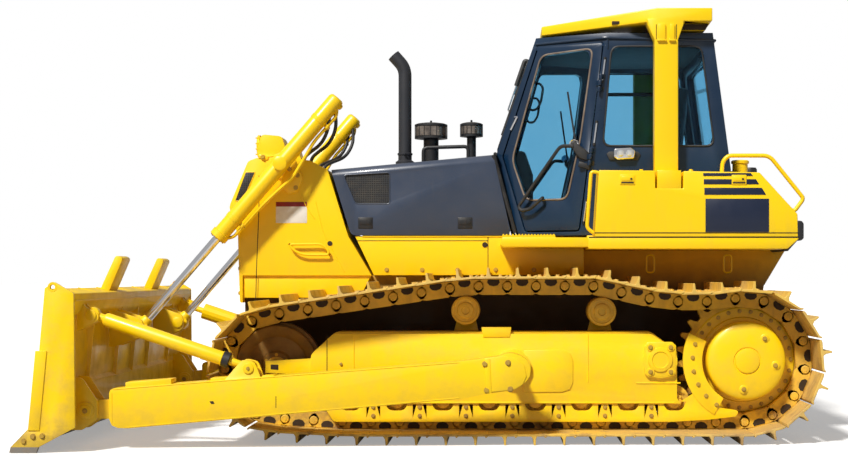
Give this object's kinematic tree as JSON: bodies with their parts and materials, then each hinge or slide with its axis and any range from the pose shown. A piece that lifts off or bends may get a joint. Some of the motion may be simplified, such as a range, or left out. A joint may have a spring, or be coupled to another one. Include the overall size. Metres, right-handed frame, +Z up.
{
  "type": "crawler bulldozer",
  "caption": "Wide-track crawler dozer with a straight tilting blade on outside push arms, a glazed cab under a rollover roof, a hinged-side hood and a rear towing clevis.",
  "frame": {"origin": "on the floor under the middle of the machine's outer box", "axes": "+X forward towards the blade, +Y to the machine's left, +Z up"},
  "size_m": [5.4092, 3.97, 3.062],
  "materials": {
    "yellow_paint": "gloss",
    "hood_grey": "satin",
    "cab_navy": "satin",
    "black_paint": "satin",
    "track_steel": "worn, dusty",
    "worn_steel": "worn",
    "iron": "cast",
    "chrome": "polished",
    "rubber": "matt",
    "glass": "tinted",
    "seat_black": "matt"
  },
  "bodies": {
    "chassis": {"main_frame": "yellow_paint", "drawbar": "yellow_paint", "side_frames": "yellow_paint", "engine": "iron", "radiator_guard": "yellow_paint", "grille": "black_paint", "hood_centre": "hood_grey", "exhaust": "black_paint", "pre_cleaners": "black_paint", "cab_shell": "cab_navy", "cab_glass": "glass", "operator_station": "seat_black", "rops": "yellow_paint", "fuel_tank": "yellow_paint", "bumper": "black_paint", "fenders": "yellow_paint", "handrails": "black_paint", "steps": "black_paint", "track_left": "track_steel", "track_right": "track_steel", "rollers": "track_steel", "idlers": "track_steel", "sprockets": "track_steel", "track_frame_left": "yellow_paint", "track_frame_right": "yellow_paint", "lift_hoses_left": "rubber", "lift_hoses_right": "rubber"},
    "push_arm_left": {"push_arm_left": "yellow_paint"},
    "push_arm_right": {"push_arm_right": "yellow_paint"},
    "blade": {"blade_moldboard": "yellow_paint", "blade_cutting_edge": "worn_steel", "blade_brackets": "yellow_paint", "blade_brace": "yellow_paint"},
    "tilt_barrel": {"tilt_barrel": "yellow_paint"},
    "tilt_rod": {"tilt_rod": "chrome"},
    "lift_barrel_left": {"lift_barrel_left": "yellow_paint"},
    "lift_barrel_right": {"lift_barrel_right": "yellow_paint"},
    "lift_rod_left": {"lift_rod_left": "chrome"},
    "lift_rod_right": {"lift_rod_right": "chrome"},
    "door_left": {"door_left": "cab_navy", "door_glass_left": "glass"},
    "door_right": {"door_right": "cab_navy", "door_glass_right": "glass"},
    "engine_cover_left": {"engine_cover_left": "hood_grey"},
    "engine_cover_right": {"engine_cover_right": "hood_grey"}
  },
  "joints": [
    {"name": "blade_lift", "type": "hinge", "parent": "chassis", "child": "push_arm_left", "pos_m": [-0.537, 1.65, 0.512], "axis": [0, -1, 0], "range_deg": [-8, 20]},
    {"name": "blade_tilt", "type": "hinge", "parent": "push_arm_left", "child": "blade", "pos_m": [2.275, 1.65, 0.258], "axis": [0.9959, 0, -0.09], "range_deg": [-4, 4]},
    {"name": "right_arm_pitch", "type": "hinge", "parent": "push_arm_left", "child": "push_arm_right", "pos_m": [-0.537, -1.65, 0.512], "axis": [0, -1, 0], "range_deg": [-4.8, 4.8]},
    {"name": "tilt_cylinder_swing", "type": "hinge", "parent": "blade", "child": "tilt_barrel", "pos_m": [2.256, -1.65, 0.885], "axis": [0, 1, 0], "range_deg": [-5, 5]},
    {"name": "tilt_cylinder_stroke", "type": "slide", "parent": "tilt_barrel", "child": "tilt_rod", "axis": [-0.9483, 0, -0.3173], "range_m": [-0.08, 0.08]},
    {"name": "lift_swing_left", "type": "hinge", "parent": "chassis", "child": "lift_barrel_left", "pos_m": [1.132, 0.72, 1.955], "axis": [0, -1, 0], "range_deg": [-10, 26], "deforming": ["lift_hoses_left"]},
    {"name": "lift_stroke_left", "type": "slide", "parent": "lift_barrel_left", "child": "lift_rod_left", "axis": [0.6515, 0, -0.7587], "range_m": [-0.78, 0.32]},
    {"name": "lift_swing_right", "type": "hinge", "parent": "chassis", "child": "lift_barrel_right", "pos_m": [1.132, -0.72, 1.955], "axis": [0, -1, 0], "range_deg": [-10, 26], "deforming": ["lift_hoses_right"]},
    {"name": "lift_stroke_right", "type": "slide", "parent": "lift_barrel_right", "child": "lift_rod_right", "axis": [0.6515, 0, -0.7587], "range_m": [-0.78, 0.32]},
    {"name": "door_left_hinge", "type": "hinge", "parent": "chassis", "child": "door_left", "pos_m": [-1.035, 0.82, 1.524], "axis": [-0.1301, 0, 0.9915], "range_deg": [0, 100]},
    {"name": "door_right_hinge", "type": "hinge", "parent": "chassis", "child": "door_right", "pos_m": [-1.035, -0.82, 1.524], "axis": [0.1301, 0, -0.9915], "range_deg": [0, 100]},
    {"name": "cover_left_hinge", "type": "hinge", "parent": "chassis", "child": "engine_cover_left", "pos_m": [0.79, 0.2, 1.92704], "axis": [-0.9957, 0, 0.0924], "range_deg": [-75, 0]},
    {"name": "cover_right_hinge", "type": "hinge", "parent": "chassis", "child": "engine_cover_right", "pos_m": [0.79, -0.2, 1.92704], "axis": [0.9957, 0, -0.0924], "range_deg": [-75, 0]}
  ],
  "couplings": [
    {"joint": "right_arm_pitch", "follows": "blade_tilt", "ratio": -1.1688},
    {"joint": "tilt_cylinder_swing", "follows": "blade_tilt", "ratio": 0.97},
    {"joint": "tilt_cylinder_stroke", "follows": "blade_tilt", "m_per_rad": -0.7},
    {"joint": "lift_swing_left", "follows": "blade_lift", "ratio": 1.2},
    {"joint": "lift_stroke_left", "follows": "blade_lift", "m_per_rad": -2.16},
    {"joint": "lift_swing_right", "follows": "blade_lift", "ratio": 1.2},
    {"joint": "lift_stroke_right", "follows": "blade_lift", "m_per_rad": -2.16}
  ]
}
